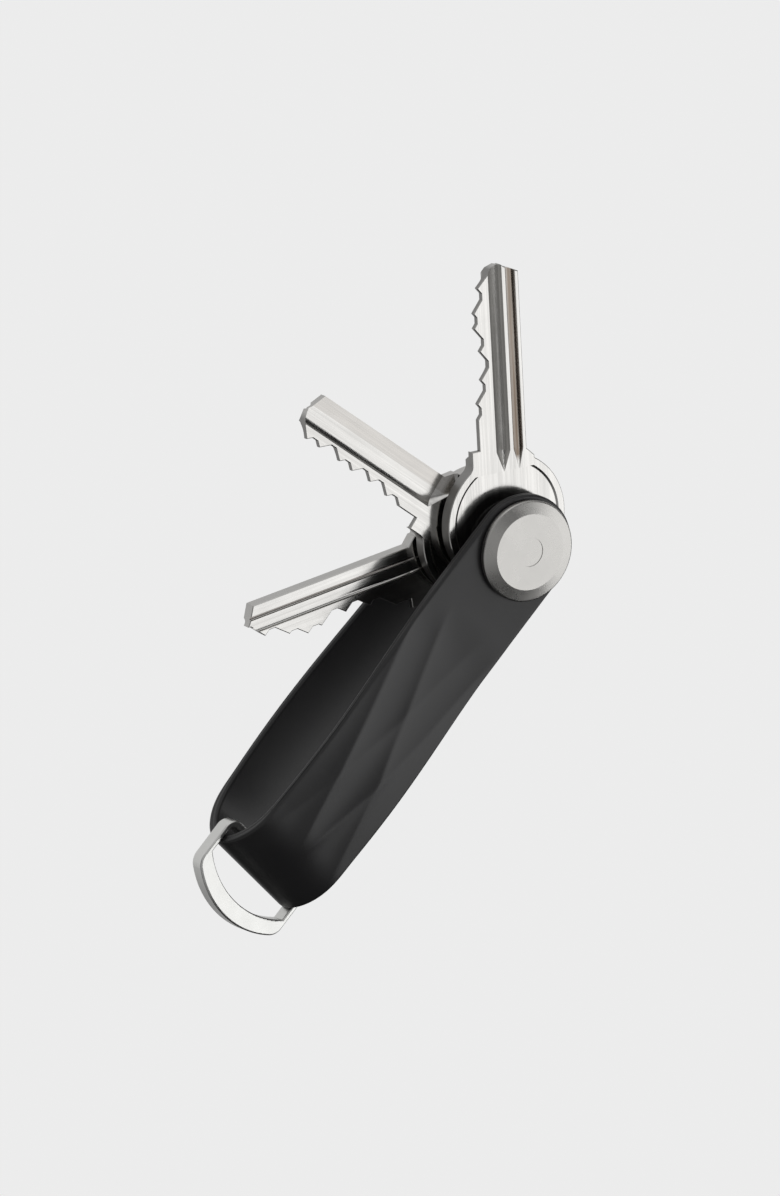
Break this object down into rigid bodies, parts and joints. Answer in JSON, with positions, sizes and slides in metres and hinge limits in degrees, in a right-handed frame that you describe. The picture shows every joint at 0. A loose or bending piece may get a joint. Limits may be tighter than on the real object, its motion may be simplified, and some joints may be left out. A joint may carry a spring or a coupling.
{
  "type": "key organiser",
  "caption": "Folding key organiser: an elastomer strap looped round a D-ring holds cut keys that fan out on one screwed pivot.",
  "frame": {"origin": "on the pivot axis, in the plane of the rear screw head's face that the organiser lies on, at the middle of its coin slot", "axes": "+Z along the pivot axis, up from the rear screw head to the front cap; -Y along the strap, from the pivot to the fold and its D-ring; +X to the right, seen from the front with the D-ring at the bottom"},
  "size_m": [0.0519, 0.1041, 0.0178],
  "materials": {
    "strap_elastomer": "matt moulded elastomer",
    "cap_metal": "bead-blasted satin, warm grey",
    "key_nickel": "nickel-plated, finely brushed",
    "ring_steel": "satin",
    "bush_steel": "turned",
    "spring_steel": "ground",
    "washer_polymer": "matt",
    "seal_rubber": "matt"
  },
  "bodies": {
    "holder": {"strap": "strap_elastomer", "front_eyelet": "bush_steel", "rear_eyelet": "bush_steel", "front_cap": "cap_metal", "pivot_post": "bush_steel", "front_washer": "washer_polymer", "filler_ring": "washer_polymer", "spacer_upper": "washer_polymer", "spacer_lower": "washer_polymer", "rear_washer": "washer_polymer", "disc_spring": "spring_steel"},
    "key_upper": {"key_upper": "key_nickel"},
    "key_middle": {"key_middle": "key_nickel"},
    "key_lower": {"key_lower": "key_nickel"},
    "d_ring": {"d_ring": "ring_steel"},
    "screw": {"lock_screw": "cap_metal", "sealing_ring": "seal_rubber"}
  },
  "joints": [
    {"name": "key_upper_swing", "type": "hinge", "parent": "holder", "child": "key_upper", "pos_m": [0, 0, 0.01125], "axis": [0, 0, 1], "continuous": true},
    {"name": "key_middle_swing", "type": "hinge", "parent": "holder", "child": "key_middle", "pos_m": [0, 0, 0.00835], "axis": [0, 0, 1], "continuous": true},
    {"name": "key_lower_swing", "type": "hinge", "parent": "holder", "child": "key_lower", "pos_m": [0, 0, 0.00545], "axis": [0, 0, 1], "continuous": true},
    {"name": "d_ring_swing", "type": "hinge", "parent": "holder", "child": "d_ring", "pos_m": [0.0002, -0.06105, 0.0092], "axis": [0.9986, -0.0523, 0], "range_deg": [-66, 75]},
    {"name": "screw_turn", "type": "hinge", "parent": "holder", "child": "screw", "pos_m": [0, 0, 0.0015], "axis": [0, 0, -1], "range_deg": [0, 720]}
  ]
}
